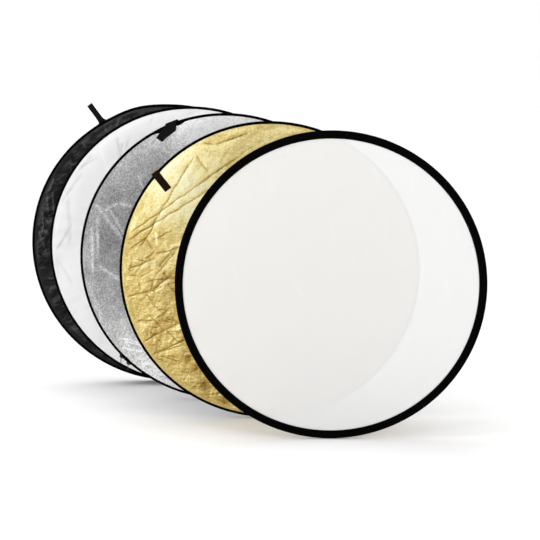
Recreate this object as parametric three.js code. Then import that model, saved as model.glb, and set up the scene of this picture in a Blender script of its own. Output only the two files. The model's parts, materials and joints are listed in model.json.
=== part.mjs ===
// A set of five collapsible reflector discs standing in a fanned row, one behind another:
// a translucent diffuser in front, then a gold, a silver, a white and a black cover.
// Every disc is fabric held flat by a spring-steel hoop. The four covers close round their
// hoops with a zip along the edge. Millimetres, +Z up, the discs face -Y and stand on z = 0.
import * as THREE from 'three';

// ---- Driving dimensions ----
const DISC_RADIUS = 400;        // an 80 cm reflector
const SEGMENTS = 48;            // facets round a full circle, shared by every ring
const GAP = 0.3;                // left between parts that touch
const FOLD_GAP = 1;             // between the two halves of a folding disc

// Where each disc's centre stands, to the side of and behind the front disc's.
const ROW = {
  translucent: { aside: 0, behind: 0 },
  gold: { aside: -157, behind: 229 },
  silver: { aside: -279, behind: 440 },
  white: { aside: -381, behind: 626 },
  black: { aside: -437, behind: 681 },
};

// The front disc's wide binding, folded over the hoop and the fabric's edge.
const BINDING = {
  inner: 379, lipFace: 2.2, shoulder: 391, face: 4.7, edge: 398.5, side: 2.5,
  slot: 0.8, pocketInner: 391.8, pocketOuter: 398.6, pocketFace: 3.4,
};
const DIFFUSER = { radius: 390, thickness: 1 };

// A cover: two sheets with the hoop between them, joined by a piped edge.
const PIPING = { lip: 393.2, seam: 395.1, chamfer: 397.6, outer: 398.3, sheetSide: 4.6, face: 5.6 };
const COVER_SHEET = { radius: 394.8, inside: 3.4, thickness: 0.9 };

const HOOP_BAND = { thickness: 1.2, width: 6 };
const BINDING_HOOP_RADIUS = 394.6;
const COVER_HOOP_RADIUS = 392;
const FERRULE = { thickness: 1.5, width: 4.6, from: 180, to: 187.5 };

// The zip runs round the piping's edge. Angles are degrees, counterclockwise from +X seen from the front.
const ZIP = { inner: 398.6, outer: DISC_RADIUS, width: 4.8 };
const ZIP_ARCS = {
  gold: [150, 345],
  silver: [120, 345],
  white: [127.5, 345],
  black: [315, 420],
};
const ZIP_HALF = { black: 1 };    // the rear disc's zip and slider are on its right half
const SLIDER = { length: 14, base: 398.6, plate: 400.3, top: 402, ears: 405.2, width: 8.4, throat: 5.4, earFrom: 2.2, earTo: 3.6 };
const SLIDER_ANGLES = {
  gold_slider: 340,
  silver_upper_slider: 223.9,
  silver_lower_slider: 227.7,
  white_slider: 340,
  black_slider: 320,
};
const PULL = { pivotRadius: 403.8, eye: 1.4, width: 3.6, thickness: 1.2, length: 18 };

// Webbing tabs. Each starts at the rim and points along its heading; fold is its crease's heading.
const WEBBING = 1.6;
const TAB_CLEARANCE = 0.4;
const TABS = {
  gold: { at: 139, radius: 401.5, heading: 308.1, fold: 218.1, length: 58, width: 20 },
  silver: { at: 111.1, radius: 402, heading: 234.5, fold: 201.1, length: 60, width: 20 },
  black: { at: 119.1, radius: 400.9, heading: 125.9, fold: 35.9, length: 60, width: 16 },
};

// ---- Materials ----
const finish = (color, roughness, metalness = 0) => new THREE.MeshStandardMaterial({ color, roughness, metalness });
const LOOKS = {
  diffuser: () => finish(0xf1f1ee, 0.7),
  gold: () => finish(0xd8b868, 0.35, 0.8),
  silver: () => finish(0xb9b9b9, 0.4, 0.8),
  white: () => finish(0xededed, 0.8),
  black: () => finish(0x262626, 0.7),
  binding: () => finish(0x050505, 0.8),
  steel: () => finish(0x8f9499, 0.3, 1),
  zip: () => finish(0x101010, 0.5),
  slider: () => finish(0x0b0b0b, 0.4, 0.5),
  webbing: () => finish(0x1c120c, 0.85),
};

// ---- Geometry helpers ----
const radians = THREE.MathUtils.degToRad;

// A point at a radius and an angle in the disc's plane, as [x, z].
function onDisc(radius, degrees) {
  return [radius * Math.cos(radians(degrees)), radius * Math.sin(radians(degrees))];
}

// A closed solid: a counterclockwise outline of [radius, y] points swept round the disc's axis.
// A sweep of 360 degrees closes on itself, and a shorter one gets a cap at each end.
function sweep(outline, from, to, steps) {
  const full = to - from >= 360;
  const count = outline.length;
  const rings = full ? steps : steps + 1;
  const positions = [];
  for (let ring = 0; ring < rings; ring++) {
    const angle = from + ((to - from) * ring) / steps;
    for (const [radius, y] of outline) {
      const [x, z] = onDisc(radius, angle);
      positions.push(x, y, z);
    }
  }
  const faces = [];
  for (let ring = 0; ring < steps; ring++) {
    const here = ring * count;
    const next = ((ring + 1) % rings) * count;
    for (let i = 0; i < count; i++) {
      const j = (i + 1) % count;
      faces.push(here + i, here + j, next + j, here + i, next + j, next + i);
    }
  }
  if (!full) {
    const flat = outline.map(([radius, y]) => new THREE.Vector2(radius, y));
    const last = steps * count;
    for (const [a, b, c] of THREE.ShapeUtils.triangulateShape(flat, [])) {
      faces.push(a, c, b, last + a, last + b, last + c);
    }
  }
  const geometry = new THREE.BufferGeometry();
  geometry.setAttribute('position', new THREE.Float32BufferAttribute(positions, 3));
  geometry.setIndex(faces);
  geometry.computeVertexNormals();
  return geometry;
}

// A sweep whose facets fall on the same angles as every other ring's.
function facetSweep(outline, from = 0, to = 360) {
  return sweep(outline, from, to, Math.round(((to - from) * SEGMENTS) / 360));
}

// Half of a ring, left or right of the fold, moved off the fold line by half the gap.
function halfSweep(outline, side) {
  const start = side < 0 ? 90 : -90;
  return facetSweep(outline, start, start + 180).translate((side * FOLD_GAP) / 2, 0, 0);
}

function rectangle(inner, outer, halfWidth) {
  return [[inner, -halfWidth], [outer, -halfWidth], [outer, halfWidth], [inner, halfWidth]];
}

// A flat outline in the disc's plane, given thickness along Y about y = 0.
// An arc in the outline gets twice curveSegments steps.
function plate(shape, thickness, curveSegments) {
  return new THREE.ExtrudeGeometry(shape, { depth: thickness, bevelEnabled: false, curveSegments })
    .translate(0, 0, -thickness / 2)
    .rotateX(Math.PI / 2);
}

function roundSheet(radius, thickness) {
  return new THREE.CylinderGeometry(radius, radius, thickness, SEGMENTS).rotateY(Math.PI / 2);
}

function halfSheet(radius, thickness, side) {
  const start = side < 0 ? Math.PI / 2 : -Math.PI / 2;
  const shape = new THREE.Shape().absarc(0, 0, radius, start, start + Math.PI, false);
  return plate(shape, thickness, SEGMENTS / 4).translate((side * FOLD_GAP) / 2, 0, 0);
}

// ---- Outlines ----
const bindingOutline = [
  [BINDING.inner, -BINDING.lipFace],
  [BINDING.shoulder, -BINDING.lipFace],
  [BINDING.shoulder + 2, -BINDING.face],
  [BINDING.edge, -BINDING.face],
  [DISC_RADIUS, -BINDING.side],
  [DISC_RADIUS, BINDING.side],
  [BINDING.edge, BINDING.face],
  [BINDING.shoulder + 2, BINDING.face],
  [BINDING.shoulder, BINDING.lipFace],
  [BINDING.inner, BINDING.lipFace],
  [BINDING.inner, BINDING.slot],
  [BINDING.pocketInner, BINDING.slot],
  [BINDING.pocketInner, BINDING.pocketFace - 1],
  [BINDING.pocketInner + 2, BINDING.pocketFace],
  [BINDING.pocketOuter, BINDING.pocketFace],
  [BINDING.pocketOuter, -BINDING.pocketFace],
  [BINDING.pocketInner + 2, -BINDING.pocketFace],
  [BINDING.pocketInner, 1 - BINDING.pocketFace],
  [BINDING.pocketInner, -BINDING.slot],
  [BINDING.inner, -BINDING.slot],
];

const pipingOutline = [
  [PIPING.lip, -PIPING.face],
  [PIPING.chamfer, -PIPING.face],
  [PIPING.outer, -PIPING.sheetSide],
  [PIPING.outer, PIPING.sheetSide],
  [PIPING.chamfer, PIPING.face],
  [PIPING.lip, PIPING.face],
  [PIPING.lip, PIPING.sheetSide],
  [PIPING.seam, PIPING.sheetSide],
  [PIPING.seam, -PIPING.sheetSide],
  [PIPING.lip, -PIPING.sheetSide],
];

function hoopOutline(radius) {
  return rectangle(radius - HOOP_BAND.thickness / 2, radius + HOOP_BAND.thickness / 2, HOOP_BAND.width / 2);
}

// The sleeve plate riveted inside the hoop, where the band's two ends meet.
function ferruleOutline(hoopRadius) {
  const outer = hoopRadius - HOOP_BAND.thickness / 2 - GAP;
  return rectangle(outer - FERRULE.thickness, outer, FERRULE.width / 2);
}

// A slider's section: a plate over the zip's teeth, a flange down each side, and two ears for the pull.
const sliderOutline = (() => {
  const side = SLIDER.width / 2;
  const throat = SLIDER.throat / 2;
  const right = [
    [SLIDER.base, throat], [SLIDER.base, side], [SLIDER.top, side],
    [SLIDER.top, SLIDER.earTo], [SLIDER.ears, SLIDER.earTo], [SLIDER.ears, SLIDER.earFrom], [SLIDER.top, SLIDER.earFrom],
  ];
  const left = right.map(([radius, y]) => [radius, -y]).reverse();
  return [...left, [SLIDER.plate, -throat], [SLIDER.plate, throat], ...right].reverse();
})();

// ---- Parts ----
const reflectorSet = new THREE.Group();

// The origin is under the middle of the whole row's box.
const middle = {
  aside: (DISC_RADIUS + ROW.black.aside - PIPING.outer) / 2,
  behind: (ROW.black.behind + PIPING.face - BINDING.face) / 2,
};
const discs = {};
for (const [name, place] of Object.entries(ROW)) {
  discs[name] = new THREE.Group();
  discs[name].position.set(place.aside - middle.aside, place.behind - middle.behind, DISC_RADIUS);
  reflectorSet.add(discs[name]);
}

function addPart(disc, name, geometry, look) {
  const mesh = new THREE.Mesh(geometry, LOOKS[look]());
  mesh.name = name;
  discs[disc].add(mesh);
  return mesh;
}

const SIDES = [['left', -1], ['right', 1]];

// The front disc: one layer of diffusion fabric in a wide binding, made as two halves that fold.
function addDiffuser() {
  for (const [word, side] of SIDES) {
    addPart('translucent', `translucent_fabric_${word}`, halfSheet(DIFFUSER.radius, DIFFUSER.thickness, side), 'diffuser');
    addPart('translucent', `translucent_binding_${word}`, halfSweep(bindingOutline, side), 'binding');
    addPart('translucent', `translucent_hoop_${word}`, halfSweep(hoopOutline(BINDING_HOOP_RADIUS), side), 'steel');
  }
  const ferrule = facetSweep(ferruleOutline(BINDING_HOOP_RADIUS), FERRULE.from, FERRULE.to);
  addPart('translucent', 'translucent_ferrule', ferrule.translate(-FOLD_GAP / 2, 0, 0), 'steel');
}

const COVER_SHEET_OFFSET = COVER_SHEET.inside + COVER_SHEET.thickness / 2;

// A cover in one piece: front and back sheets, the hoop and its ferrule, and the piped edge.
function addCover(disc, backLook) {
  const sheet = () => roundSheet(COVER_SHEET.radius, COVER_SHEET.thickness);
  addPart(disc, `${disc}_front`, sheet().translate(0, -COVER_SHEET_OFFSET, 0), disc);
  addPart(disc, `${disc}_back`, sheet().translate(0, COVER_SHEET_OFFSET, 0), backLook);
  addPart(disc, `${disc}_hoop`, facetSweep(hoopOutline(COVER_HOOP_RADIUS)), 'steel');
  addPart(disc, `${disc}_ferrule`, facetSweep(ferruleOutline(COVER_HOOP_RADIUS), FERRULE.from, FERRULE.to), 'steel');
  addPart(disc, `${disc}_piping`, facetSweep(pipingOutline), 'binding');
}

// The rear cover, made as two halves that fold.
function addFoldingCover(disc, backLook) {
  for (const [word, side] of SIDES) {
    const sheet = () => halfSheet(COVER_SHEET.radius, COVER_SHEET.thickness, side);
    addPart(disc, `${disc}_front_${word}`, sheet().translate(0, -COVER_SHEET_OFFSET, 0), disc);
    addPart(disc, `${disc}_back_${word}`, sheet().translate(0, COVER_SHEET_OFFSET, 0), backLook);
    addPart(disc, `${disc}_hoop_${word}`, halfSweep(hoopOutline(COVER_HOOP_RADIUS), side), 'steel');
    addPart(disc, `${disc}_piping_${word}`, halfSweep(pipingOutline, side), 'binding');
  }
  const ferrule = facetSweep(ferruleOutline(COVER_HOOP_RADIUS), FERRULE.from, FERRULE.to);
  addPart(disc, `${disc}_ferrule`, ferrule.translate(-FOLD_GAP / 2, 0, 0), 'steel');
}

// A zip on one half of a folding disc moves off the fold line with that half.
function zipShift(disc) {
  return ((ZIP_HALF[disc] ?? 0) * FOLD_GAP) / 2;
}

function addZip(disc) {
  const [from, to] = ZIP_ARCS[disc];
  const teeth = facetSweep(rectangle(ZIP.inner, ZIP.outer, ZIP.width / 2), from, to);
  addPart(disc, `${disc}_zip`, teeth, 'zip').position.x = zipShift(disc);
}

// A slider astride the zip, and its pull hanging straight down from the ears.
function addSlider(disc, name) {
  const angle = SLIDER_ANGLES[name];
  const halfAngle = THREE.MathUtils.radToDeg(SLIDER.length / 2 / DISC_RADIUS);
  const body = sweep(sliderOutline, angle - halfAngle, angle + halfAngle, 2);
  addPart(disc, name, body, 'slider').position.x = zipShift(disc);

  const [x, z] = onDisc(PULL.pivotRadius, angle);
  const shape = new THREE.Shape().absarc(0, 0, PULL.eye, radians(-60), radians(240), false);
  shape.lineTo(-PULL.thickness / 2, -PULL.length);
  shape.lineTo(PULL.thickness / 2, -PULL.length);
  const pull = addPart(disc, name.replace('slider', 'pull'), plate(shape, PULL.width, 6), 'slider');
  pull.position.set(x + zipShift(disc), 0, z);
}

// A flat strip of webbing whose near end is cut along its crease and whose far end is square.
function tabShape({ length, width, heading, fold }) {
  const along = new THREE.Vector2(Math.cos(radians(heading)), Math.sin(radians(heading)));
  const across = new THREE.Vector2(-along.y, along.x);
  const creaseSlope = 1 / Math.tan(radians(heading - fold));
  const corner = (side, reach) => across.clone().multiplyScalar((side * width) / 2).addScaledVector(along, reach);
  const nearReach = (side) => (-side * width * creaseSlope) / 2;
  return new THREE.Shape([
    corner(-1, nearReach(-1)), corner(-1, length), corner(1, length), corner(1, nearReach(1)),
  ]);
}

function addTab(disc, depth) {
  const tab = TABS[disc];
  const [x, z] = onDisc(tab.radius, tab.at);
  addPart(disc, `${disc}_tab`, plate(tabShape(tab), WEBBING), 'webbing').position.set(x, depth, z);
}

addDiffuser();
addCover('gold', 'silver');
addCover('silver', 'white');
addCover('white', 'black');
addFoldingCover('black', 'white');
for (const disc of Object.keys(ZIP_ARCS)) addZip(disc);
for (const name of Object.keys(SLIDER_ANGLES)) addSlider(name.split('_')[0], name);
const onFace = -(PIPING.face + TAB_CLEARANCE + WEBBING / 2);
addTab('gold', onFace);
addTab('silver', onFace);
addTab('black', 0);

export default reflectorSet;
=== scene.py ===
"""Looks for a set of five collapsible reflector discs standing in a fanned row.

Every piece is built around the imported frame, in metres: +Z up, the discs face -Y. Each disc has its own
local frame with its origin at its centre. Angles run counterclockwise from +X, seen from the front.
"""

import json
import math

import bmesh
import bpy
import numpy as np
from mathutils import Matrix, Vector


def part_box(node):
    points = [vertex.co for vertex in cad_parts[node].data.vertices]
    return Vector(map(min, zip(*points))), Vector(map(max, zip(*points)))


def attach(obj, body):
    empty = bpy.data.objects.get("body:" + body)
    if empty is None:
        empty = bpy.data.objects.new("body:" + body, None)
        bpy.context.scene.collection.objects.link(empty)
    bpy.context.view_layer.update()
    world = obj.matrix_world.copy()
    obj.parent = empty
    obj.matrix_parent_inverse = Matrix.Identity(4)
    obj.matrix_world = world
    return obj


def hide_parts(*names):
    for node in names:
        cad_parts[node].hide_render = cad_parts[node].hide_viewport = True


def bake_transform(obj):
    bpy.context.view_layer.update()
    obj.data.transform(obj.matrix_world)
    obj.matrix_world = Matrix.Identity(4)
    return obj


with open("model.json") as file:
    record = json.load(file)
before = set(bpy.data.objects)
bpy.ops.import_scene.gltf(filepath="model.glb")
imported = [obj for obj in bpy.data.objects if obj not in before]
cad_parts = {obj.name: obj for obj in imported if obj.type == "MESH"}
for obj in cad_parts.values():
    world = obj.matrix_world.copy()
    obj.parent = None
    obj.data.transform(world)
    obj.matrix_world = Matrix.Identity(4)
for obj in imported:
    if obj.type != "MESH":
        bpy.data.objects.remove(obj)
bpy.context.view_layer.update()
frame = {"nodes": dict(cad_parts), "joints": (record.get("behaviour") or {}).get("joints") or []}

MM = 0.001
TURN = 2 * math.pi
QUARTER = TURN / 4
FRONT_LOW, FRONT_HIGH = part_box("translucent_binding_left")
RADIUS = (FRONT_HIGH.z - FRONT_LOW.z) / 2

# ---- the frame's own places


def centre_of(*nodes):
    """The middle of the box round some CAD nodes."""
    boxes = np.array([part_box(node) for node in nodes])
    return (boxes[:, 0].min(0) + boxes[:, 1].max(0)) / 2


def cad_nodes(disc, part):
    """The CAD nodes that hold a part of a disc: two on a folding disc, one on the others."""
    halves = ("_left", "_right") if disc in FOLDING else ("",)
    return [f"{disc}_{part}{half}" for half in halves]


COVERS = ("gold", "silver", "white", "black")
FOLDING = ("translucent", "black")
CENTRES = {disc: centre_of(*cad_nodes(disc, "piping")) for disc in COVERS}
CENTRES["translucent"] = centre_of(*cad_nodes("translucent", "binding"))
JOINTS = {joint["name"]: joint for joint in frame["joints"]}


def on_disc(radius, degrees):
    """A point at an angle round a disc, from its centre."""
    return round_disc(radius, np.radians(degrees))


# ---- mesh helpers


def linked(name, data):
    """A new object in the scene."""
    made = bpy.data.objects.new(name, data)
    bpy.context.scene.collection.objects.link(made)
    return made


def round_disc(radius, angles, y=0.0):
    """Points at some angles round a disc's axis, one row each."""
    x, z = radius * np.cos(angles), radius * np.sin(angles)
    return np.stack([x, np.broadcast_to(y, x.shape), z], -1)


def mesh_object(name, vertices, faces, uv=None, tone=None):
    """A smooth-shaded object from arrays. uv has a row for each face corner, in metres on the cloth, and
    tone is a cloth's painted light and shade, kept on each point.
    """
    vertices = np.asarray(vertices, np.float32)
    count, sides = faces.shape
    mesh = bpy.data.meshes.new(name)
    mesh.vertices.add(len(vertices))
    mesh.vertices.foreach_set("co", vertices.ravel())
    mesh.loops.add(count * sides)
    mesh.loops.foreach_set("vertex_index", faces.ravel().astype(np.int32))
    mesh.polygons.add(count)
    mesh.polygons.foreach_set("loop_start", np.arange(0, count * sides, sides, dtype=np.int32))
    mesh.update(calc_edges=True)
    if uv is not None:
        layer = mesh.uv_layers.new(name="cloth")
        layer.data.foreach_set("uv", np.asarray(uv, np.float32).ravel())
    if tone is not None:
        mesh.attributes.new("tone", "FLOAT", "POINT").data.foreach_set("value", tone.astype(np.float32))
    mesh.polygons.foreach_set("use_smooth", [True] * count)
    mesh.validate()
    return linked(name, mesh)


def merged(parts):
    """Several (vertices, quads) arrays as one."""
    vertices, faces, offset = [], [], 0
    for points, quads in parts:
        vertices.append(points)
        faces.append(quads + offset)
        offset += len(points)
    return np.concatenate(vertices), np.concatenate(faces)


def copies(points, quads, places, axes):
    """One (vertices, quads) shape repeated: axes holds each copy's 3 x 3 local axes as rows."""
    every = np.einsum("vk,nkj->nvj", points, axes) + places[:, None, :]
    faces = quads[None] + (np.arange(len(places)) * len(points))[:, None, None]
    return every.reshape(-1, 3), faces.reshape(-1, 4)


def capsule(length, width, height):
    """A stitch or tooth lying along local x: six-sided, swollen in the middle, closed at both small ends."""
    sides, steps, end_size = 6, 3, 0.2
    points, quads = [], []
    for t in np.linspace(-1, 1, steps + 1):
        swell = math.sqrt(max(1 - t * t, end_size ** 2))
        for k in range(sides):
            a = TURN * k / sides
            y, z = swell * width / 2 * math.cos(a), swell * height / 2 * math.sin(a)
            points.append((t * length / 2, y, z))
    for ring in range(steps):
        here, there = ring * sides, (ring + 1) * sides
        for k in range(sides):
            j = (k + 1) % sides
            quads.append((here + k, there + k, there + j, here + j))
    for start, flip in ((0, 1), (steps * sides, -1)):
        halves = [(start, start + 1, start + 2, start + 3), (start, start + 3, start + 4, start + 5)]
        quads += [half[::flip] for half in halves]
    return np.array(points), np.array(quads)


def swept_ring(profile, steps, start=0.0, end=360.0, ruffle=None, swell=None):
    """A closed outline of (radius, y) points swept round the disc's axis. Returns vertices, quads and uv.

    ruffle(angles, radii, depths) adds to y, as gathered tape does. swell(angles, radii) adds to the radius.
    """
    profile = np.asarray(profile, float)
    count, full = len(profile), end - start >= 360
    rings = steps if full else steps + 1
    angles = np.radians(start + (end - start) * np.arange(rings) / steps)
    around = np.linalg.norm(np.roll(profile, -1, 0) - profile, axis=1)
    across = np.concatenate([[0], np.cumsum(around)])
    radius = np.broadcast_to(profile[:, 0], (rings, count))
    y = np.broadcast_to(profile[:, 1], (rings, count))
    if ruffle:
        y = y + ruffle(angles[:, None], radius, y)
    if swell:
        radius = radius + swell(angles[:, None], radius)
    vertices = round_disc(radius, angles[:, None], y)
    ring, i = np.meshgrid(np.arange(steps), np.arange(count), indexing="ij")
    here, j = ring * count, (i + 1) % count
    there = (ring + 1) % rings * count
    quads = np.stack([here + i, here + j, there + j, there + i], -1).reshape(-1, 4)
    step_length = math.radians(end - start) / steps * profile[:, 0].max()
    u0, u1 = ring * step_length, (ring + 1) * step_length
    v0, v1 = across[i], across[i + 1]
    corners = [np.stack(corner, -1) for corner in ((u0, v0), (u0, v1), (u1, v1), (u1, v0))]
    return vertices.reshape(-1, 3), quads, np.stack(corners, 2).reshape(-1, 2)


def ring_piece(name, disc, profile, steps, ruffle=None, swell=None):
    """A whole swept ring as an object."""
    vertices, quads, uv = swept_ring(profile, steps, ruffle=ruffle, swell=swell)
    return mesh_object(name, vertices + CENTRES[disc], quads, uv)


def concentric_grid(radius, n):
    """A square grid of n x n cells mapped evenly onto a disc. Returns x, z and quads."""
    side = np.linspace(-1, 1, n + 1)
    a, b = np.meshgrid(side, side, indexing="ij")
    wide = np.abs(a) > np.abs(b)
    reach = np.where(wide, a, b)
    safe_a, safe_b = np.where(a == 0, 1, a), np.where(b == 0, 1, b)
    angle = np.where(wide, math.pi / 4 * b / safe_a, math.pi / 2 - math.pi / 4 * a / safe_b)
    x, z = radius * reach * np.cos(angle), radius * reach * np.sin(angle)
    i, j = np.meshgrid(np.arange(n), np.arange(n), indexing="ij")
    corner = i * (n + 1) + j
    quads = np.stack([corner, corner + n + 1, corner + n + 2, corner + 1], -1).reshape(-1, 4)
    return x.ravel(), z.ravel(), quads


# ---- creased cloth


def waves(x, z, size, seed):
    """A smooth random field of about unit height, whose hills are about size across."""
    count = 9
    rng = np.random.default_rng(seed)
    field = np.zeros_like(x)
    for heading, stretch, phase in rng.random((count, 3)):
        k = TURN / (size * (0.6 + 0.9 * stretch))
        field += np.sin(k * (x * math.cos(TURN * heading) + z * math.sin(TURN * heading)) + TURN * phase)
    return field / math.sqrt(count)


def facets(x, z, size, slope, seed):
    """Flat facets meeting at sharp folds: triangle waves in three directions, bent by a smooth field."""
    rng = np.random.default_rng(seed)
    height = np.zeros_like(x)
    for heading, stretch, phase in rng.random((3, 3)):
        length = size * (0.7 + 0.8 * stretch)
        bent = 0.35 * size * waves(x, z, 2.2 * size, int(1000 * phase) + seed)
        t = (x * math.cos(TURN * heading) + z * math.sin(TURN * heading) + bent) / length + phase
        height += slope * length * (np.abs(t % 1 - 0.5) - 0.25)
    return height


def fold_line(x, z, start, end, depth, width, bend=0.0):
    """One fold pressed into the cloth from start to end. Returns its height and how strongly painted shade
    marks its line.

    A negative depth is a ridge, whose line gets a painted highlight instead of painted shade.
    """
    start, end = np.array(start), np.array(end)
    length = np.linalg.norm(end - start)
    (ux, uz), dx, dz = (end - start) / length, x - start[0], z - start[1]
    along = dx * ux + dz * uz
    off = dz * ux - dx * uz - bend * along * (along - length) / length
    fade = np.clip(along / (0.12 * length), 0, 1) * np.clip((length - along) / (0.25 * length), 0, 1)
    height = -depth * fade * np.exp(-np.abs(off) / width)
    return height, math.copysign(1, depth) * fade * np.exp(-(off / (0.6 * width)) ** 2)


def random_folds(count, seed, headings, lengths, depth, width, middle=(0, 0), reach=0.36):
    """Fold lines scattered round a middle point, as arguments of fold_line."""
    rng = np.random.default_rng(seed)
    folds = []
    for _ in range(count):
        radius, angle = reach * math.sqrt(rng.random()), TURN * rng.random()
        heading, length = math.radians(rng.uniform(*headings)), rng.uniform(*lengths)
        start = (middle[0] + radius * math.cos(angle), middle[1] + radius * math.sin(angle))
        end = (start[0] + length * math.cos(heading), start[1] + length * math.sin(heading))
        strength = rng.uniform(0.4, 1.0) * rng.choice([1, 1, -0.7])
        folds.append((start, end, strength * depth, width * rng.uniform(0.6, 1.3), rng.uniform(-0.12, 0.12)))
    return folds


def kept_folds(lines, depth, width):
    """Long folds, given as below, as arguments of fold_line."""
    return [((x0 * MM, z0 * MM), (x1 * MM, z1 * MM), depth, width) for x0, z0, x1, z1 in lines]


# The long folds that each cloth keeps from storage, to the nearest 5 mm: x and z of the start, then of
# the end, in millimetres from the disc's centre.
GOLD_LINES = [
    (-310, 125, -190, 320), (-380, 95, -40, 335), (-380, 80, -75, 270), (-305, 45, -230, 65),
    (-375, 5, -300, 35), (-290, 5, -245, 60), (-295, 10, -255, 60), (-330, 90, -310, 55),
    (-380, -70, -300, -50), (-310, -50, -260, -10), (-340, -195, -235, -135), (-320, -230, -210, -180),
    (-355, -135, -310, -135), (-190, 345, -140, 335), (-145, 335, -50, 370), (-195, 310, -155, 255),
    (-345, 60, -290, 150), (-60, 300, 120, 345),
]
SILVER_LINES = [
    (-360, 155, -330, 120), (-335, 125, -270, 35), (-350, -20, -280, -70), (-330, 130, -285, 155),
    (-290, 150, -245, 140), (-350, 120, -350, -20), (-365, 100, -365, -60), (-350, 235, -345, 150),
]
WHITE_LINES = [
    (-205, 315, -190, 235), (-190, 300, -195, 225), (-345, 200, -255, 260), (-370, 120, -300, 215),
    (-380, -10, -335, 60), (-375, -40, -330, -120),
]
BLACK_LINES = [
    (-355, 135, -350, 80), (-350, 85, -340, 60), (-380, 40, -355, -35), (-340, 150, -335, 110),
    (-365, 90, -370, 20), (-390, 30, -380, -60), (-350, 160, -370, 120), (-330, 190, -350, 150),
    (-200, 335, -185, 360), (-215, 320, -210, 350),
]

# How each cloth is creased, and how light and shade are painted on it. facets are (size, slope), weaker
# above the first height in crumpled and full below the second. puckers is the height of the edge's wrinkles,
# and warp how much folds waver.
# tone is the middle of the painted shade, and zones are patches of painted light and shade (x, z, size,
# lighter by). lines and slopes say how strongly the painted shade follows the folds and the relief's slopes.
CLOTHS = {
    "gold": dict(
        folds=kept_folds(GOLD_LINES, 0.9 * MM, 4 * MM)
        + random_folds(110, 11, (0, 50), (0.03, 0.12), 0.45 * MM, 2.6 * MM, (0, -0.14), 0.35)
        + random_folds(110, 12, (-75, -10), (0.02, 0.07), 0.4 * MM, 2.4 * MM, (0, -0.16), 0.34)
        + random_folds(26, 13, (10, 70), (0.06, 0.22), 0.8 * MM, 4 * MM, (0.10, 0.18), 0.26)
        + random_folds(26, 14, (-80, 80), (0.02, 0.06), 0.5 * MM, 2.8 * MM, (-0.32, 0.02), 0.09),
        facets=[(0.150, 0.030), (0.060, 0.022), (0.024, 0.030), (0.012, 0.050)],
        crumpled=(0.14, -0.16), puckers=0.3 * MM, warp=1.0 * MM, tone=0.58, lines=0.34, slopes=1.5,
        # zones: painted light at the upper left and top, painted shade towards the bottom
        zones=[(-0.25, 0.26, 0.12, 0.30), (-0.19, 0.15, 0.10, 0.14), (-0.02, 0.33, 0.12, 0.12),
               (-0.20, -0.30, 0.24, -0.12), (-0.218, -0.238, 0.012, -0.30), (-0.175, -0.309, 0.014, -0.34),
               (-0.120, -0.355, 0.012, -0.30), (-0.196, -0.262, 0.010, -0.25)],
    ),
    "silver": dict(
        folds=kept_folds(SILVER_LINES, -0.7 * MM, 8 * MM)
        + random_folds(22, 21, (-80, -30), (0.08, 0.22), -0.4 * MM, 6 * MM)
        + random_folds(70, 22, (-20, 40), (0.02, 0.07), -0.3 * MM, 4 * MM, (-0.2, -0.28), 0.13),
        facets=[(0.170, 0.016), (0.050, 0.014)],
        crumpled=(0.1, -0.2), puckers=0.3 * MM, warp=0.8 * MM, tone=0.43, lines=0.26, slopes=1.0,
        # zones: painted light at the top and the bottom, patches of painted shade at the left
        zones=[(-0.03, 0.38, 0.15, 0.74), (-0.22, 0.30, 0.09, -0.02), (-0.32, 0.04, 0.09, -0.20),
               (-0.315, 0.17, 0.045, -0.10), (-0.31, -0.20, 0.06, 0.10), (-0.28, -0.12, 0.05, -0.08),
               (-0.18, -0.33, 0.13, 0.46), (-0.385, 0.02, 0.035, 0.14)],
    ),
    "white": dict(
        folds=kept_folds(WHITE_LINES, 0.6 * MM, 7 * MM)
        + random_folds(40, 31, (20, 110), (0.08, 0.26), 0.5 * MM, 8 * MM),
        facets=[(0.160, 0.014)],
        crumpled=(1, -1), puckers=0.4 * MM, warp=0.8 * MM, tone=0.66, lines=0.38, slopes=4.0, zones=[],
    ),
    "black": dict(
        folds=kept_folds(BLACK_LINES, -1.2 * MM, 4 * MM)
        + random_folds(260, 41, (40, 140), (0.025, 0.12), -0.9 * MM, 4 * MM, reach=0.385),
        facets=[(0.120, 0.030), (0.045, 0.040), (0.020, 0.040)],
        crumpled=(1, -1), puckers=0.5 * MM, warp=1.5 * MM, tone=0.38, lines=0.46, slopes=3.0,
        # zones: a painted sheen along the top
        zones=[(-0.13, 0.37, 0.16, 0.34), (-0.36, 0.12, 0.10, 0.06)],
    ),
    "diffuser": dict(
        folds=random_folds(12, 51, (60, 120), (0.04, 0.10), -0.2 * MM, 6 * MM),
        facets=[(0.200, 0.003)],
        crumpled=(1, -1), puckers=0.1 * MM, warp=1.0 * MM, tone=0.5, lines=0.12, slopes=1.0, zones=[],
    ),
}
# Painted light and shade: the cloth's tone is painted lighter on slopes that face this way, up and to the
# left, and darker on those facing away.
LIGHT_SIDE = (-0.55, 0.83)  # slopes that face up and to the left are the lighter ones


def tension_puckers(x, z, seed, height):
    """Short radial wrinkles where the cloth is gathered into its edge."""
    gathered_at, reach, ridges = 0.394, 0.05, 64
    radius, angle = np.hypot(x, z), np.arctan2(z, x)
    uneven = 0.5 + 0.5 * np.sin(3 * angle + seed) * np.sin(7 * angle + 2 * seed)
    shape = np.sin(ridges * angle + 2.5 * np.sin(5 * angle + seed))
    return height * uneven * shape * np.exp(-(gathered_at - radius) / reach)


HELD_BAND = 0.014  # over this width the creases fade out towards the edge
SOFT_LIMIT = 2 * MM  # creases level off towards this height
RELIEF_LIMIT = 1.5 * MM  # and none stands higher than this


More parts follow.
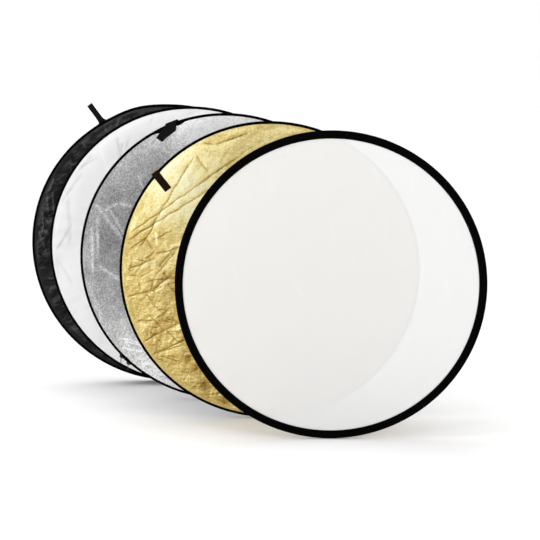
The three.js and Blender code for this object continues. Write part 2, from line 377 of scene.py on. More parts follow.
def raised(x, z, kind, seed, flat_from):
    """Outward height of a creased cloth and the painted shade along its folds, fading to flat where the edge
    holds it.
    """
    style = CLOTHS[kind]
    height, fold_shade = np.zeros_like(x), np.zeros_like(x)
    warp_x, warp_z = (style["warp"] * waves(x, z, 0.05, seed + k) for k in range(2))
    # fold_shade is painted shade along the folds and a painted highlight along ridges; each point keeps its
    # strongest fold
    for fold in style["folds"]:
        lift, line_shade = fold_line(x + warp_x, z + warp_z, *fold)
        height += lift
        fold_shade = np.where(np.abs(line_shade) > np.abs(fold_shade), line_shade, fold_shade)
    smooth_above, crumpled_below = style["crumpled"]
    crumple = 0.4 + 0.6 * np.clip((smooth_above - z) / (smooth_above - crumpled_below), 0, 1)
    for size, slope in style["facets"]:
        height += crumple * facets(x, z, size, slope, seed + int(1000 * size))
    height += tension_puckers(x, z, seed, style["puckers"])
    edge = np.clip((flat_from - np.hypot(x, z)) / HELD_BAND, 0, 1)
    held = edge * edge * (3 - 2 * edge)
    return SOFT_LIMIT * np.tanh(height / SOFT_LIMIT) * held, fold_shade * held


def cloth_relief(x, z, kind, seed, flat_from):
    """The relief of a cloth, and the light and shade painted on it, from 0, dark, to 1, light."""
    style, step = CLOTHS[kind], 1.2 * MM
    height, fold_shade = raised(x, z, kind, seed, flat_from)
    ahead, _ = raised(x + step * LIGHT_SIDE[0], z + step * LIGHT_SIDE[1], kind, seed, flat_from)
    # painted shade and light: slopes facing LIGHT_SIDE painted lighter, folds painted darker and ridges
    # lighter
    tone = style["tone"] - style["slopes"] * (ahead - height) / step - style["lines"] * fold_shade
    # zones: patches of painted light and shade
    for zone_x, zone_z, size, lighter in style["zones"]:
        tone += lighter * np.exp(-((x - zone_x) ** 2 + (z - zone_z) ** 2) / size ** 2)
    return np.minimum(height, RELIEF_LIMIT), np.clip(tone, 0, 1)


SHEET_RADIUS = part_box("gold_front")[1].x - CENTRES["gold"][0]


def cloth_sheet(name, disc, kind, radius, depth, facing, seed, cells):
    """A round cloth at a depth behind the disc's middle. facing is -1 on the front and 1 on the back."""
    x, z, quads = concentric_grid(radius, cells)
    across = x * -facing  # so that the back isn't the front's mirror image
    relief, tone = cloth_relief(across, z, kind, seed, radius - 5 * MM)
    vertices = np.stack([x, np.full_like(x, depth) + facing * relief, z], -1) + CENTRES[disc]
    if facing > 0:
        quads = quads[:, ::-1]
    uv = np.stack([x, z], -1)[quads.ravel()]
    return mesh_object(name, vertices, quads, uv, tone)


# ---- materials


class Nodes:
    """A short way to build a node material: each call adds one node and returns its main output.

    A tuple stands for a colour, and a list for a vector.
    """

    def __init__(self, name):
        self.material = bpy.data.materials.new(name)
        self.material.use_nodes = True
        self.tree = self.material.node_tree
        self.shader = self.tree.nodes["Principled BSDF"]

    def add(self, kind, inputs=None, output=0, **settings):
        node = self.tree.nodes.new("ShaderNode" + kind)
        for key, value in settings.items():
            setattr(node, key, value)
        for key, value in (inputs or {}).items():
            self.feed(node.inputs[key], value)
        return node.outputs[output]

    def feed(self, socket, value):
        if isinstance(value, bpy.types.NodeSocket):
            self.tree.links.new(value, socket)
        else:
            socket.default_value = rgba(value) if isinstance(value, tuple) else value

    def cloth(self):
        return self.add("TexCoord", output="UV")

    def noise(self, where, scale, detail=2.0, roughness=0.5):
        inputs = {"Vector": where, "Scale": scale, "Detail": detail, "Roughness": roughness}
        return self.add("TexNoise", inputs)

    def cells(self, where, size, output="Distance"):
        return self.add("TexVoronoi", {"Vector": where, "Scale": 1 / size}, output)

    def stripes(self, where, scale, direction="X", distortion=0.0):
        inputs = {"Vector": where, "Scale": scale, "Distortion": distortion}
        return self.add("TexWave", inputs, bands_direction=direction)

    def ramp(self, value, *stops):
        node = self.add("ValToRGB", {"Fac": value}).node
        elements = node.color_ramp.elements
        for end, (position, colour) in ((0, stops[0]), (1, stops[-1])):
            elements[end].position = position
            elements[end].color = rgba(colour)
        for position, colour in stops[1:-1]:
            elements.new(position).color = rgba(colour)
        return node.outputs[0]

    def math(self, operation, a, b=0.0):
        return self.add("Math", {0: a, 1: b}, operation=operation)

    def mix(self, factor, a, b):
        return self.add("Mix", {0: factor, 6: a, 7: b}, 2, data_type="RGBA")

    def bump(self, height, distance, strength, under=None):
        inputs = {"Height": height, "Distance": distance, "Strength": strength}
        if under is not None:
            inputs["Normal"] = under
        return self.add("Bump", inputs)

    def finish(self, **sockets):
        for key, value in sockets.items():
            self.feed(self.shader.inputs[key.replace("_", " ")], value)
        return self.material


def rgba(colour):
    return (*colour, 1.0)


def grey(level):
    return (level, level, level)


BANDS = 3.2  # a wave texture at scale 1 draws about this many bands a metre


def shaded_by_relief(n, where, stops, grain, grain_size, uneven):
    """A colour ramp driven by the light and shade painted into the cloth's tone, with speckled grain and
    uneven patches on top.
    """
    speck = n.math("MULTIPLY", n.math("SUBTRACT", n.cells(where, grain_size, "Color"), 0.5), grain)
    patch = n.math("MULTIPLY", n.math("SUBTRACT", n.noise(where, 30.0, 5.0, 0.6), 0.5), uneven)
    painted_shade = n.add("Attribute", output="Fac", attribute_name="tone")
    tone = n.math("ADD", n.math("ADD", painted_shade, speck), patch)
    return n.ramp(tone, *stops)


def laminate(name, stops, roughness, grain, grain_size, uneven):
    """Metallised film on cloth: a fine pebbled grain over its folds, and the painted light and shade of its
    relief.
    """
    n = Nodes(name)
    where = n.cloth()
    colour = shaded_by_relief(n, where, stops, grain, grain_size, uneven)
    rough = n.math("ADD", n.math("MULTIPLY", n.noise(where, 60.0, 3.0), 0.2), roughness - 0.1)
    normal = n.bump(n.cells(where, grain_size), 0.12 * grain_size, 0.5)
    normal = n.bump(n.noise(where, 90.0, 4.0, 0.6), 0.8 * MM, 0.4, normal)
    return n.finish(Base_Color=colour, Metallic=0.85, Roughness=rough, Normal=normal)


def woven(name, stops, pitch, roughness, uneven=0.15, alpha=1.0, depth=0.12 * MM, gloss=0.3):
    """Plain-weave cloth: crossing threads, uneven dye, and the painted light and shade of its folds."""
    n = Nodes(name)
    where = n.cloth()
    warp, weft = (n.stripes(where, 1 / (pitch * BANDS), direction) for direction in "XY")
    threads = n.math("MULTIPLY", warp, weft)
    colour = shaded_by_relief(n, where, stops, 0.12, 2 * pitch, uneven)
    normal = n.bump(threads, depth, 0.6)
    normal = n.bump(n.noise(where, 45.0, 4.0), 0.8 * MM, 0.35, normal)
    return n.finish(Base_Color=colour, Roughness=roughness, Normal=normal, Alpha=alpha,
                    Specular_IOR_Level=gloss)


def ribbed_tape(name, dark, light, rib=1.1 * MM):
    """Grosgrain or webbing: ribs across its length, with a little lint."""
    n = Nodes(name)
    where = n.cloth()
    ribs = n.stripes(where, 1 / (rib * BANDS), "X")
    weft = n.stripes(where, 1 / (rib / 2 * BANDS), "Y", 1.0)
    lint = n.ramp(n.noise(where, 420.0, 4.0, 0.7), (0.6, dark), (0.85, light))
    colour = n.mix(n.math("MULTIPLY", n.noise(where, 25.0, 3.0), 0.4), lint, light)
    normal = n.bump(n.math("ADD", ribs, n.math("MULTIPLY", weft, 0.4)), 0.25 * MM, 0.7)
    return n.finish(Base_Color=colour, Roughness=0.85, Normal=normal, Specular_IOR_Level=0.02)


def thread(name, colour):
    """Twisted sewing thread."""
    n = Nodes(name)
    where = n.add("TexCoord", output="Object")
    twist = n.stripes(where, 900.0, "DIAGONAL")
    shade = n.mix(n.noise(where, 800.0), colour, tuple(1.6 * c for c in colour))
    normal = n.bump(twist, 0.1 * MM, 0.5)
    return n.finish(Base_Color=shade, Roughness=0.8, Normal=normal, Specular_IOR_Level=0.05)


def enamel(name, base, worn, roughness, gloss):
    """Painted metal or moulded plastic with slight orange peel and rubbed patches."""
    n = Nodes(name)
    where = n.add("TexCoord", output="Object")
    rubbed = n.ramp(n.noise(where, 260.0, 5.0, 0.65), (0.62, base), (0.8, worn))
    rough = n.math("ADD", n.math("MULTIPLY", n.noise(where, 700.0, 2.0), 0.25), roughness)
    peel = n.bump(n.noise(where, 1500.0, 2.0), 0.03 * MM, 0.4)
    return n.finish(Base_Color=rubbed, Roughness=rough, Normal=peel, Specular_IOR_Level=gloss)


def brushed_steel(name):
    """Bare spring steel with fine lines along the band."""
    n = Nodes(name)
    where = n.add("TexCoord", output="Object")
    stretched = n.add("VectorMath", {0: where, 1: [60, 1500, 60]}, operation="MULTIPLY")
    lines = n.noise(stretched, 1.0, 3.0)
    colour = n.mix(lines, (0.34, 0.35, 0.37), (0.52, 0.53, 0.55))
    rough = n.math("ADD", n.math("MULTIPLY", lines, 0.25), 0.2)
    return n.finish(Base_Color=colour, Metallic=1.0, Roughness=rough, Normal=n.bump(lines, 0.02 * MM, 0.3))


# Each cloth's ramp turns its painted tone into colour: painted shade at 0, the cloth's own colour in the
# middle, a painted highlight at 1.
GOLD_TONES = [(0.0, (0.20, 0.11, 0.020)), (0.25, (0.39, 0.25, 0.060)), (0.45, (0.56, 0.41, 0.135)),
              (0.62, (0.76, 0.60, 0.23)), (0.80, (0.93, 0.83, 0.42)), (1.0, (1.0, 0.97, 0.70))]
SILVER_TONES = [(0.0, grey(0.12)), (0.35, grey(0.34)), (0.55, grey(0.50)), (0.80, grey(0.78)),
                (1.0, grey(1.0))]
WHITE_TONES = [(0.0, grey(0.66)), (0.6, grey(0.85)), (1.0, grey(0.90))]
# The white cloth painted darker for the covers' backs: painted shade.
WHITE_BACK_SHADE_TONES = [(0.0, grey(0.52)), (0.6, grey(0.70)), (1.0, grey(0.76))]
BLACK_TONES = [(0.0, grey(0.006)), (0.4, (0.016, 0.016, 0.017)), (0.8, grey(0.06)), (1.0, grey(0.10))]
DIFFUSER_TONES = [(0.2, (0.645, 0.645, 0.64)), (0.9, (0.705, 0.705, 0.70))]
LOOKS = {
    "gold": laminate("gold_laminate", GOLD_TONES, 0.42, 0.22, 3 * MM, 0.30),
    "silver": laminate("silver_laminate", SILVER_TONES, 0.45, 0.50, 2.8 * MM, 0.30),
    "white": woven("white_cloth", WHITE_TONES, 0.5 * MM, 0.85),
    "white_lining": woven("white_lining", WHITE_BACK_SHADE_TONES, 0.7 * MM, 0.9),
    "black": woven("black_cloth", BLACK_TONES, 0.5 * MM, 0.7, uneven=0.5, gloss=0.1),
    "diffuser": woven("diffusion_cloth", DIFFUSER_TONES, 0.35 * MM, 0.8, alpha=0.92, depth=0.05 * MM),
    "binding": ribbed_tape("binding_tape", grey(0.0006), grey(0.002)),
    "brown_webbing": ribbed_tape("brown_webbing", (0.010, 0.004, 0.002), (0.024, 0.012, 0.007), 1.6 * MM),
    "black_webbing": ribbed_tape("black_webbing", grey(0.006), grey(0.016), 1.6 * MM),
    "thread": thread("black_thread", grey(0.004)),
    "zip": enamel("zip_coil", grey(0.004), grey(0.010), 0.35, 0.2),
    "slider": enamel("slider_enamel", grey(0.005), grey(0.030), 0.3, 0.4),
    "steel": brushed_steel("spring_steel"),
}


def dress(piece, look):
    piece.data.materials.append(LOOKS[look])
    return piece


# ---- stitches and zip teeth


def stitch_row(radius, y, facing, pitch=4 * MM):
    """A row of sewn stitches round a disc, half sunk into a face at y."""
    count = int(TURN * radius / pitch)
    angles = TURN * np.arange(count) / count
    points, quads = capsule(0.72 * pitch, 0.55 * MM, 0.4 * MM)
    along = round_disc(1, angles + QUARTER)
    out = np.broadcast_to([0.0, facing, 0.0], along.shape)
    axes = np.stack([along, np.cross(out, along), out], 1)
    return copies(points, quads, round_disc(radius, angles, y), axes)


def coil_teeth(radius, start, end):
    """The zip's coil: one tooth every 2 mm, from alternate sides."""
    span = math.radians(end - start)
    count = int(span * radius / (2 * MM))
    angles = np.radians(start) + span * (np.arange(count) + 0.5) / count
    points, quads = capsule(3.6 * MM, 1.15 * MM, 1.3 * MM)
    side = np.where(np.arange(count) % 2, 1, -1) * 0.5 * MM
    out = round_disc(1, angles)
    along = np.broadcast_to([0.0, 1.0, 0.0], out.shape)
    axes = np.stack([along, -round_disc(1, angles + QUARTER), out], 1)
    return copies(points, quads, round_disc(radius, angles, side), axes)


# ---- edges

BINDING_INNER = 379 * MM
ROLL_MIDDLE = 395.6 * MM  # the middle of the rolled edge, on every disc
ROLL_REACH = 3.5 * MM  # from there to the piping's edges
# The binding's lip, from its inner edge to the swelling over the hoop: radius and depth, in millimetres.
LIP = [(379, 0.9), (379.2, 1.9), (381, 2.1), (382.2, 1.9), (386, 2.05), (388.6, 2.15), (389.6, 1.95),
       (390.6, 2.3), (391.6, 3.2)]


def binding_outline():
    """Wide tape folded over the hoop: two lips on the cloth, a swelling over the hoop, a soft outer edge."""
    front = [(radius * MM, -depth * MM) for radius, depth in LIP]
    for k in range(7):
        a = math.pi * (0.18 + 0.64 * k / 6)
        front.append((ROLL_MIDDLE - 4.4 * MM * math.cos(a), -(2.0 * MM + 2.6 * MM * math.sin(a))))
    side = [(399.85 * MM, -1.2 * MM), (400 * MM, 0.0), (399.85 * MM, 1.2 * MM)]
    back = [(r, -y) for r, y in front[::-1]]
    inside = [(391 * MM, 0.6 * MM), (391 * MM, -0.6 * MM)]
    return front + side + back + inside


def roll_arc(y, first, last):
    """Part of a rolled edge at y, between two angles round its middle."""
    angles = np.radians(np.linspace(first, last, 12))
    return [(ROLL_MIDDLE + ROLL_REACH * math.cos(a), y + 1.95 * MM * math.sin(a)) for a in angles]


def piping_outline():
    """Two rolled edges, front and back, with the zip's tape between them."""
    between = [(397.7 * MM, -1.5 * MM), (397.7 * MM, 1.5 * MM)]
    return roll_arc(-3.6 * MM, 140, 380) + between + roll_arc(3.6 * MM, -20, 220)


def tape_ruffle(angles, radii, depths):
    """Gathers in tape that is sewn round a curve: waves that grow towards its inner edge."""
    wave = np.sin(211 * angles + 3 * np.sin(17 * angles + 1)) * (0.6 + 0.4 * np.sin(29 * angles + 1))
    loose = np.exp(-(radii - BINDING_INNER) / (7 * MM))
    return np.sign(depths) * 0.3 * MM * wave * loose


def roll_ruffle(seed):
    """Gathers in a rolled edge, strongest on its outer faces."""

    def lift(angles, _radii, depths):
        wave = np.sin(150 * angles + 4 * np.sin(13 * angles + seed)) + 0.5 * np.sin(67 * angles + seed)
        return np.sign(depths) * 0.18 * MM * wave * np.clip(np.abs(depths) / (4 * MM), 0, 1)

    return lift


# Where a cover's edge is wider, by bunched tape between silver's zip sliders and by gathers beside the tabs:
# degrees round the disc, half-angle, and millimetres outwards and inwards.
SWELLS = {
    "gold": [(139, 2.0, 0.4, 1.2)],
    "silver": [(225.8, 1.3, 2.2, 1.0), (115.6, 2.4, 0.3, 8.0), (108.8, 2.0, 0.3, 6.0)],
    "white": [],
    "black": [(119.1, 2.2, 1.5, 0.0)],
}
# Where the rear disc's rim stands out, beside its tab: the middle and half-angle in degrees, and how far.
SAG = dict(disc="black", at=104, spread=10, depth=4.5 * MM)


def sagged(piece, disc):
    """Pushes the rim out where it sags, and the cloth with it."""
    if disc != SAG["disc"]:
        return
    points = np.empty(3 * len(piece.data.vertices), np.float32)
    piece.data.vertices.foreach_get("co", points)
    points = points.reshape(-1, 3)
    middle_x, _, middle_z = CENTRES[disc]
    x, z = points[:, 0] - middle_x, points[:, 2] - middle_z
    off = (np.degrees(np.arctan2(z, x)) - SAG["at"] + 180) % 360 - 180
    hump = SAG["depth"] / RADIUS * np.exp(-(off / SAG["spread"]) ** 2)
    stretch = 1 + hump * (np.hypot(x, z) / RADIUS) ** 3
    points[:, 0] = middle_x + x * stretch
    points[:, 2] = middle_z + z * stretch
    piece.data.vertices.foreach_set("co", points.ravel())


def edge_swell(disc):
    """What swept_ring adds to a cover's piping where its edge is wider."""

    def widen(angles, radii):
        extra = np.zeros(np.broadcast_shapes(angles.shape, radii.shape))
        for degrees, spread, outward, inward in SWELLS[disc]:
            off = (np.degrees(angles) - degrees + 180) % 360 - 180
            hump = np.exp(-(off / spread) ** 2)
            side = np.clip((radii - ROLL_MIDDLE) / ROLL_REACH, -1, 1)
            extra = extra + hump * np.where(side > 0, outward * side, inward * side) * MM
        return extra

    return widen


def band_outline(inner, outer, half_width):
    return [(inner, -half_width), (outer, -half_width), (outer, half_width), (inner, half_width)]


def build_hoop(disc, radius):
    """A folding disc's flat spring-steel band, 6 mm wide and 1.2 mm thick."""
    outline = band_outline(radius - 0.6 * MM, radius + 0.6 * MM, 3 * MM)
    hoop = ring_piece(f"{disc}_spring_hoop", disc, outline, 240)
    dress(hoop, "steel")
    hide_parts(*cad_nodes(disc, "hoop"))
    return hoop


def build_stitches(name, disc, rows):
    points, quads = merged(rows)
    return dress(mesh_object(name, points + CENTRES[disc], quads), "thread")


def fold_blend(piece):
    """Bakes a piece of a folding disc into place, in the frame's coordinates."""
    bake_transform(piece)


# ---- the front disc

DIFFUSER_RADIUS = 388 * MM
BINDING_SEAMS = (382 * MM, 389.6 * MM)  # the radii of its two rows of stitches


def build_translucent():
    disc = "translucent"
    binding = ring_piece("translucent_binding_tape", disc, binding_outline(), 720, tape_ruffle)
    dress(binding, "binding")
    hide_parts(*cad_nodes(disc, "binding"))
    seams = [(facing, radius) for facing in (-1, 1) for radius in BINDING_SEAMS]
    rows = [stitch_row(radius, facing * 2.05 * MM, facing) for facing, radius in seams]
    stitches = build_stitches("translucent_binding_stitches", disc, rows)
    cloth = cloth_sheet("translucent_cloth", disc, "diffuser", DIFFUSER_RADIUS, 0.0, -1, 5, 200)
    dress(cloth, "diffuser")
    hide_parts(*cad_nodes(disc, "fabric"))
    hoop = build_hoop(disc, 394.6 * MM)
    for piece in (binding, stitches, cloth, hoop):
        fold_blend(piece)


# ---- the covers

BACK_CLOTH = {"gold": "silver", "silver": "white", "white": "black", "black": "white"}
ZIP_ARCS = {"gold": (150, 345), "silver": (120, 345), "white": (127.5, 345), "black": (315, 420)}
SHEET_DEPTH = 4.0 * MM
PIPING_SEAM = 393.9 * MM  # the radius of its row of stitches on each side
CELLS = {"gold": 300, "silver": 280, "white": 200, "black": 260}
BACK_CELLS = 240  # no back has more cells than this


def build_piping(disc, seed):
    """A cover's rolled black edge and its two rows of stitches."""
    shaped_by = (roll_ruffle(seed), edge_swell(disc))
    piping = ring_piece(f"{disc}_piping_tape", disc, piping_outline(), 900, *shaped_by)
    dress(piping, "binding")
    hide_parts(*cad_nodes(disc, "piping"))
    rows = [stitch_row(PIPING_SEAM, facing * 5.0 * MM, facing, 3.4 * MM) for facing in (-1, 1)]
    return piping, build_stitches(f"{disc}_piping_stitches", disc, rows)


def build_sheet(disc, face, kind, facing, seed, cells):
    """One side of a cover. A white back is a plainer copy of the white cloth, painted darker than the white
    front: painted shade for the backs, which the lights reach more strongly.
    """
    depth = facing * SHEET_DEPTH
    cloth = cloth_sheet(f"{disc}_{face}_cloth", disc, kind, SHEET_RADIUS, depth, facing, seed, cells)
    dress(cloth, "white_lining" if (kind, face) == ("white", "back") else kind)
    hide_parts(*cad_nodes(disc, face))
    return cloth


def build_cover(disc):
    seed = sorted(CENTRES).index(disc)
    piping, stitches = build_piping(disc, seed)
    back = BACK_CLOTH[disc]
    sheets = [
        build_sheet(disc, "front", disc, -1, seed + 10, CELLS[disc]),
        build_sheet(disc, "back", back, 1, seed + 30, min(CELLS[back], BACK_CELLS)),
    ]
    pieces = [piping, stitches, *sheets]
    for piece in pieces:
        sagged(piece, disc)
    rest = f"{disc}_hoop"
    if disc in FOLDING:
        rest = build_hoop(disc, 392 * MM)
        pieces.append(rest)
    for piece in pieces:
        if disc in FOLDING:
            fold_blend(piece)
        else:
            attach(piece, f"{disc}_disc")


def zip_shift(disc):
    """A zip on one half of a folding disc stands off the fold line with that half."""
    if disc not in FOLDING:
        return 0.0
    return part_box(f"{disc}_zip")[1].x - CENTRES[disc][0] - RADIUS


def build_zip(disc):
    """A coil zip: its teeth on a flat tape, along part of the edge."""
    start, end = ZIP_ARCS[disc]
    teeth = coil_teeth(399.2 * MM, start, end)
    outline = band_outline(397.9 * MM, 398.8 * MM, 2.6 * MM)
    tape, tape_quads, _ = swept_ring(outline, int((end - start) * 1.5), start, end)
    points, quads = merged([teeth, (tape, tape_quads)])
    shift = np.array([zip_shift(disc), 0, 0])
    chain = mesh_object(f"{disc}_zip_chain", points + CENTRES[disc] + shift, quads)
    dress(chain, "zip")
    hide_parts(f"{disc}_zip")
    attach(chain, "black_right" if disc == "black" else f"{disc}_disc")


# ---- sliders and pulls

# Where round its disc each slider stands, in degrees.
SLIDERS = {"gold_slider": 340, "silver_upper_slider": 223.9, "silver_lower_slider": 227.7,
           "white_slider": 340, "black_slider": 320}
PULL_PIVOT = 403.8 * MM  # the radius of the rod that a pull swings on


def add_rod(bm, centre, radius, length):
    """A round rod along y."""
    turn = Vector((0, 1, 0)).to_track_quat("Z", "X").to_matrix().to_4x4()
    turn.translation = Vector(centre)
    bmesh.ops.create_cone(bm, cap_ends=True, segments=20, radius1=radius, radius2=radius, depth=length,
                          matrix=turn)


# The blocks of each, in millimetres: centre, size, bevel. A slider's axes are along the edge, y, and
# outwards from the disc's centre. A pull's are x, y and z from its pivot. A block off the middle has a twin
# on the other side.
SLIDER_BLOCKS = [
    ((0, 0, 401.1), (14, 8.6, 1.7), 0.5),
    ((0, 3.6, 399.8), (14, 1.3, 2.4), 0.4),
    ((0, 2.9, 403.3), (9, 1.3, 3.8), 0.55),
    ((5.2, 0, 402.1), (3, 3.2, 1.2), 0.3),
]
PULL_BLOCKS = [
    ((0, 0, -4.4), (1.5, 3.2, 7.4), 0.5),
    ((0, 2.0, -11.6), (1.5, 1.3, 9.4), 0.45),
    ((0, 0, -7.6), (1.5, 5.2, 1.6), 0.45),
    ((0, 0, -16.6), (1.5, 5.2, 2.6), 0.6),
]


def add_blocks(bm, blocks, origin, axes):
    """Bevelled blocks in a bmesh, placed and sized along local axes, which are the rows of axes."""
    turn = Matrix([list(axis) for axis in axes]).transposed().to_4x4()
    for (x, y, z), size, bevel in blocks:
        for side in (-1, 1) if y else (1,):
            made = bmesh.ops.create_cube(bm, size=1.0)["verts"]
            bmesh.ops.scale(bm, vec=[length * MM for length in size], verts=made)
            edges = {edge for v in made for edge in v.link_edges}
            bevelled = bmesh.ops.bevel(bm, geom=list(edges), offset=bevel * MM, segments=2, profile=0.6,
                                       affect="EDGES")
            verts = {v for f in bevelled["faces"] for v in f.verts} | {v for v in made if v.is_valid}
            turn.translation = Vector(origin) + turn.to_3x3() @ Vector((x * MM, side * y * MM, z * MM))
            bmesh.ops.transform(bm, matrix=turn, verts=list(verts))


def hardware(name, suffix, bm):
    """A finished slider or pull, which replaces its CAD node and rides its body."""
    bmesh.ops.recalc_face_normals(bm, faces=bm.faces)
    mesh = bpy.data.meshes.new(name + suffix)
    bm.to_mesh(mesh)
    bm.free()
    piece = dress(linked(name + suffix, mesh), "slider")
    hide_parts(name)
    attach(piece, name)


def build_slider(name, degrees):
    """A zip slider with a bail and rod, and the slotted pull that hangs from it."""
    disc = name.split("_")[0]
    home = CENTRES[disc] + np.array([zip_shift(disc), 0, 0])
    pivot = home + on_disc(PULL_PIVOT, degrees)
    bm = bmesh.new()
    add_blocks(bm, SLIDER_BLOCKS, home, (on_disc(1, degrees + 90), (0, 1, 0), on_disc(1, degrees)))
    add_rod(bm, pivot, 0.6 * MM, 6.4 * MM)
    hardware(name, "_body", bm)
    bm = bmesh.new()
    add_rod(bm, pivot, 1.35 * MM, 3.4 * MM)
    add_blocks(bm, PULL_BLOCKS, pivot, ((1, 0, 0), (0, 1, 0), (0, 0, 1)))
    hardware(name.replace("slider", "pull"), "_tag", bm)


# ---- tabs

WEBBING = 1.6 * MM
FORWARD = np.array([0, -1.0, 0])


def strap(name, rows, width):
    """A flat strap with slightly rounded edges. Each row is (middle, across, normal, distance along)."""
    middle, across, normal, reach = (np.array(column) for column in zip(*rows))
    u = np.linspace(-1, 1, 11)
    thin = np.sqrt(np.clip(1 - (np.maximum(np.abs(u) - 0.85, 0) / 0.16) ** 2, 0, 1))
    flat = middle[:, None] + across[:, None] * (u * width / 2)[:, None]
    lift = normal[:, None] * (WEBBING / 2 * thin)[:, None]
    points = np.concatenate([flat + lift, (flat - lift)[:, ::-1]], 1)
    count, around = points.shape[:2]
    row, k = np.meshgrid(np.arange(count - 1) * around, np.arange(around), indexing="ij")
    j = (k + 1) % around
    sides = np.stack([row + k, row + j, row + around + j, row + around + k], -1).reshape(-1, 4)
    k = np.arange(len(u) - 1)
    cap = np.stack([k, k + 1, around - 2 - k, around - 1 - k], -1)
    quads = np.concatenate([sides, cap[:, ::-1], cap + (count - 1) * around])
    v = np.concatenate([u, u[::-1]]) * width / 2
    uv = np.stack(np.broadcast_arrays(reach[:, None], v), -1).reshape(-1, 2)
    return mesh_object(name, points.reshape(-1, 3), quads, uv[quads.ravel()])


def smooth_path(points, step):
    """Even steps along a soft curve through a few points."""
    points = np.asarray(points, float)
    knots = np.concatenate([[0], np.cumsum(np.linalg.norm(np.diff(points, axis=0), axis=1))])
    t = np.linspace(0, knots[-1], max(int(knots[-1] / step), 8) * 4)
    line = np.stack([np.interp(t, knots, points[:, k]) for k in range(points.shape[1])], -1)
    window = max(3, int(1.6 * MM / (t[1] - t[0])) | 1)
    padded = np.pad(line, ((window // 2, window // 2), (0, 0)), "edge")
    even = np.ones(window) / window
    smoothed = [np.convolve(padded[:, k], even, "valid") for k in range(line.shape[1])]
    return np.stack(smoothed, -1)[::2]


# How much wider a strap is, as (millimetres along, millimetres wider). The silver tab's webbing is
# doubled, and a corner of it shows past one side.
SINGLE = ((0, 0), (60, 0))
DOUBLED = ((8, 0), (16, 6), (26, 12.5), (48, 3), (60, 0))
# Each tab's disc, heading in degrees, width, length past the crease, and extra width.
TABS = {
    "gold_tab": ("gold", 308.1, 20 * MM, 58 * MM, SINGLE),
    "silver_tab": ("silver", 234.5, 20 * MM, 60 * MM, DOUBLED),
    "black_tab": ("black", 125.9, 16 * MM, 60 * MM, SINGLE),
}


# A folded tab's path from where it is sewn in, round the rim to its crease, and down the front: millimetres
# along and behind the crease.
WRAP = [(3.5, 6.8), (1.2, 6.3), (-0.6, 5.2), (-1.3, 3.2), (-1.1, 1.2), (0.2, 0.1), (2.6, -0.1), (6.0, 0.15),
        (16.0, 0.55), (30.0, 0.75), (44.0, 0.65)]


def inwards(crease, heading):
    """The way in from the rim, square to a tab's crease."""
    into = np.array([-crease[2], 0, crease[0]])
    return into * np.sign(into @ heading)


def folded_rows(pivot, crease, heading, width, length, wider_along):
    """A strap that comes out of the rim, wraps forward over it, and lies on the cover's front."""
    into = inwards(crease, heading)
    across = np.cross(heading, FORWARD)
    skew = (crease @ heading) / (crease @ across)
    path = smooth_path([(t * MM, y * MM) for t, y in [*WRAP, (length / MM, 0.35)]], 1.2 * MM)
    tangents = np.gradient(path, axis=0)
    tangents /= np.linalg.norm(tangents, axis=1)[:, None]
    reach = np.concatenate([[0], np.cumsum(np.linalg.norm(np.diff(path, axis=0), axis=1))])
    turn = int(np.argmax(path[:, 1] < 0.35 * MM))
    rows = []
    for k, ((t, y), (dt, dy)) in enumerate(zip(path, tangents)):
        direction = into if k < turn else heading
        squared = np.clip((t - 20 * MM) / (length - 20 * MM), 0, 1) if k >= turn else 0.0
        wider = np.interp(t / MM, *zip(*wider_along)) * MM if k >= turn else 0.0
        row_across = across * (1 + wider / width) + (1 - squared) * skew * heading
        middle = pivot + direction * t + np.array([0, y, 0]) - across * wider / 2
        normal = FORWARD * dt + direction * dy
        rows.append((middle, row_across, normal, reach[k]))
    return rows


def straight_rows(pivot, heading, length):
    """A strap that stands straight out from the rim, a little wider where it is sewn in."""
    across = np.cross(heading, FORWARD)
    rows = []
    for k in range(33):
        t = -3 * MM + (length + 3 * MM) * k / 32
        flare = 1 + 0.55 * math.exp(-max(t, 0) / (3.5 * MM))
        bow = 0.5 * MM * math.sin(math.pi * max(t, 0) / length)
        rows.append((pivot + heading * t + np.array([0, bow, 0]), across * flare, FORWARD, t))
    return rows


def tack(rows, at, width, lines=3):
    """A block of stitching across a strap, near the row whose distance along is at."""
    gap, pitch = 1.6 * MM, 2.1 * MM
    reach = np.array([row[3] for row in rows])
    points, quads = capsule(1.5 * MM, 0.5 * MM, 0.35 * MM)
    places, axes = [], []
    for line in range(lines):
        middle, across, normal, _ = rows[int(np.argmin(np.abs(reach - at - line * gap)))]
        unit = across / np.linalg.norm(across)
        count = int(0.8 * width / pitch)
        for k in range(count):
            u = (k - (count - 1) / 2) * pitch
            places.append(middle + across * u + normal * (WEBBING / 2 + 0.02 * MM))
            axes.append(np.stack([unit, np.cross(normal, unit), normal]))
    return copies(points, quads, np.array(places), np.array(axes))


def build_tab(name):
    """A webbing tab and its stitching. A folded tab wraps over the rim where it leaves its disc; the black
    disc's stands straight out.
    """
    disc, degrees, width, length, wider_along = TABS[name]
    joint = JOINTS[f"{name}_flip"]
    pivot, crease = np.array(joint["pos_m"]), np.array(joint["axis"])
    heading = on_disc(1, degrees)
    if disc == "black":
        rows = straight_rows(pivot, heading, length)
        tack_at = 3 * MM
    else:
        rows = folded_rows(pivot, crease, heading, width, length, wider_along)
        tack_at = rows[int(len(rows) * 0.3)][3]
    look = "brown_webbing" if disc == "gold" else "black_webbing"
    tape = dress(strap(f"{name}_strap", rows, width), look)
    points, quads = merged([tack(rows, tack_at, width), tack(rows, rows[-1][3] - 5 * MM, width, 2)])
    stitches = dress(mesh_object(f"{name}_stitches", points, quads), "thread")
    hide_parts(name)
    for piece in (tape, stitches):
        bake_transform(piece)


# ---- build everything

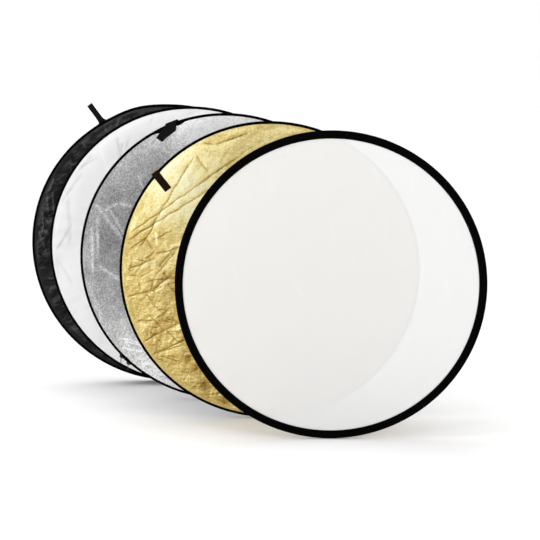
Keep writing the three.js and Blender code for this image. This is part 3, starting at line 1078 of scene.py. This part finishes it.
build_translucent()
for disc in COVERS:
    build_cover(disc)
    build_zip(disc)
for name, degrees in SLIDERS.items():
    build_slider(name, degrees)
for name in TABS:
    build_tab(name)
for name, node in frame["nodes"].items():
    if not node.hide_render:
        node.data.materials.clear()
        dress(node, "steel")

# ---- floor, light and camera

STUDIO_LEVEL = 0.80  # how strongly the studio round the discs lights them
BACKDROP_LEVEL = 1.01  # how bright the white behind them looks
FLOOR_DROP = 0.8 * MM  # the floor lies this far under the discs


def stage_floor():
    """A pale, matt studio floor."""
    n = Nodes("floor")
    where = n.add("TexCoord", output="Object")
    colour = n.mix(n.noise(where, 3.0, 3.0), grey(0.80), grey(0.81))
    n.finish(Base_Color=colour, Roughness=0.9, Specular_IOR_Level=0.1)
    bpy.ops.mesh.primitive_plane_add(size=120, location=(0, 0, -FLOOR_DROP))
    floor = bpy.context.object
    floor.name = "floor"
    floor.data.materials.append(n.material)


def studio_world():
    """White behind everything, and a softly shaded studio for the cloth to reflect."""
    world = bpy.data.worlds.new("studio")
    bpy.context.scene.world = world
    world.use_nodes = True
    tree = world.node_tree
    tree.nodes.clear()
    kinds = ("TexCoord", "SeparateXYZ", "ValToRGB", "Background", "Background", "LightPath", "MixShader",
             "OutputWorld")
    where, split, tall, lit, seen, path, blend, out = (tree.nodes.new("ShaderNode" + kind) for kind in kinds)
    tree.links.new(where.outputs["Generated"], split.inputs[0])
    tree.links.new(split.outputs["Z"], tall.inputs[0])
    elements = tall.color_ramp.elements
    elements[0].color = rgba(grey(0.50))
    elements[1].position = 0.75
    elements[1].color = rgba(grey(1.0))
    elements.new(0.22).color = rgba(grey(0.80))
    tree.links.new(tall.outputs[0], lit.inputs[0])
    lit.inputs[1].default_value = STUDIO_LEVEL
    seen.inputs[0].default_value = rgba(grey(1.0))
    seen.inputs[1].default_value = BACKDROP_LEVEL
    tree.links.new(path.outputs["Is Camera Ray"], blend.inputs[0])
    tree.links.new(lit.outputs[0], blend.inputs[1])
    tree.links.new(seen.outputs[0], blend.inputs[2])
    tree.links.new(blend.outputs[0], out.inputs[0])


def add_light(name, kind, energy, location, target, **settings):
    light = bpy.data.lights.new(name, kind)
    light.energy = energy
    for key, value in settings.items():
        setattr(light, key, value)
    lamp = linked(name, light)
    lamp.location = location
    lamp.rotation_euler = (Vector(target) - Vector(location)).to_track_quat("-Z", "Y").to_euler()


CAMERA_PLACE = (-0.156, -5.536, 1.402)  # from where the front disc meets the floor
CAMERA_DOWN = 9.84  # degrees


def add_camera():
    """The photo's viewpoint: straight on, a little above, from about 5.5 m with a long lens."""
    camera = linked("camera", bpy.data.cameras.new("camera"))
    camera.data.lens = 146.67
    camera.data.sensor_width = 36
    camera.data.clip_end = 200
    x, y, z = CAMERA_PLACE
    camera.location = Vector(CENTRES["translucent"]) + Vector((x, y, z - RADIUS))
    camera.rotation_euler = (math.radians(90 - CAMERA_DOWN), 0, 0)
    bpy.context.scene.camera = camera


stage_floor()
studio_world()
add_light("top", "SUN", 2.0, (-1.7, 0.9, 3.0), (0, 0, 0), angle=math.radians(75))
for name, energy, place, target, width, height in (
    ("left_softbox", 33.0, (-2.6, -2.6, 1.1), (0, 0, 0.25), 0.7, 1.5),
    ("right_softbox", 36.0, (1.9, -3.2, 1.6), (-0.2, 0, 0.30), 1.0, 1.0),
):
    add_light(name, "AREA", energy, place, target, shape="RECTANGLE", size=width, size_y=height)
add_camera()
bpy.context.scene.view_settings.view_transform = "Standard"
